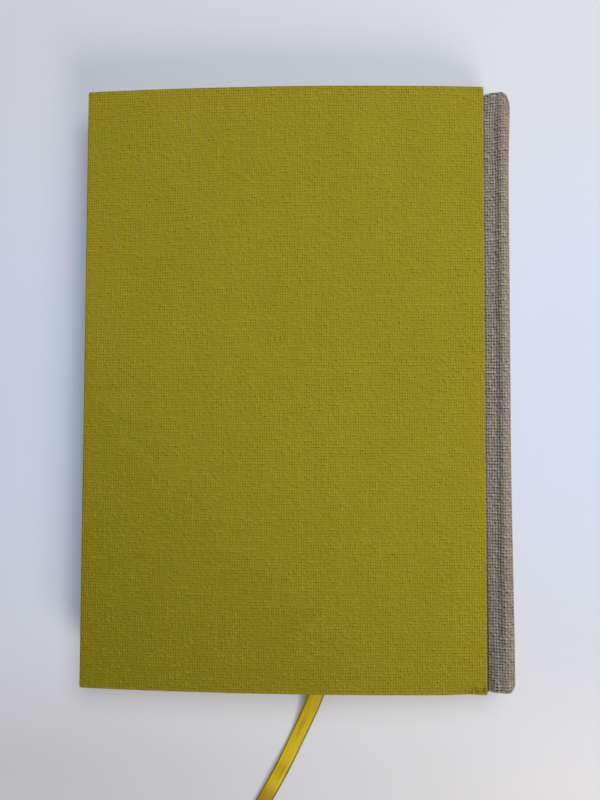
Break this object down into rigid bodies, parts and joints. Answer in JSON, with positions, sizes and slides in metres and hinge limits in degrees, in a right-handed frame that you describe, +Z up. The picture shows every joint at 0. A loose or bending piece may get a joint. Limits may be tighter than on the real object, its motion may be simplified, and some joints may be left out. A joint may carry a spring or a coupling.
{
  "type": "notebook",
  "caption": "Hardcover notebook with cloth-covered boards, a narrow linen spine, hinged covers and a ribbon marker.",
  "frame": {"origin": "centre of the closed book's footprint, without the ribbon, on the surface it lies on", "axes": "+X to the spine, +Y to the head, +Z up out of the back cover"},
  "size_m": [0.1546, 0.2895, 0.0196],
  "materials": {
    "leaves": "uncoated cream paper",
    "endpaper": "heavier uncoated paper",
    "lining": "mull and kraft paper",
    "headband": "wound cotton",
    "greyboard": "matt greyboard",
    "spine_linen": "coarse grey linen, matt",
    "cover_cloth": "olive green book cloth, matt",
    "ribbon_satin": "yellow green satin"
  },
  "bodies": {
    "book_block": {"page_block": "leaves", "back_flyleaf": "endpaper", "front_flyleaf": "endpaper", "spine_lining": "lining", "head_band": "headband", "tail_band": "headband", "spine_board": "greyboard", "spine_cloth": "spine_linen", "ribbon_marker": "ribbon_satin"},
    "back_cover": {"back_board": "greyboard", "back_cover_cloth": "cover_cloth", "back_cloth_flange": "spine_linen", "back_pastedown": "endpaper"},
    "front_cover": {"front_board": "greyboard", "front_cover_cloth": "cover_cloth", "front_cloth_flange": "spine_linen", "front_pastedown": "endpaper"}
  },
  "joints": [
    {"name": "back_cover_hinge", "type": "hinge", "parent": "book_block", "child": "back_cover", "pos_m": [0.06938, 0, 0.01763], "axis": [0, 1, 0], "range_deg": [0, 180]},
    {"name": "front_cover_hinge", "type": "hinge", "parent": "book_block", "child": "front_cover", "pos_m": [0.06938, 0, 0.00047], "axis": [0, -1, 0], "range_deg": [0, 180]}
  ]
}
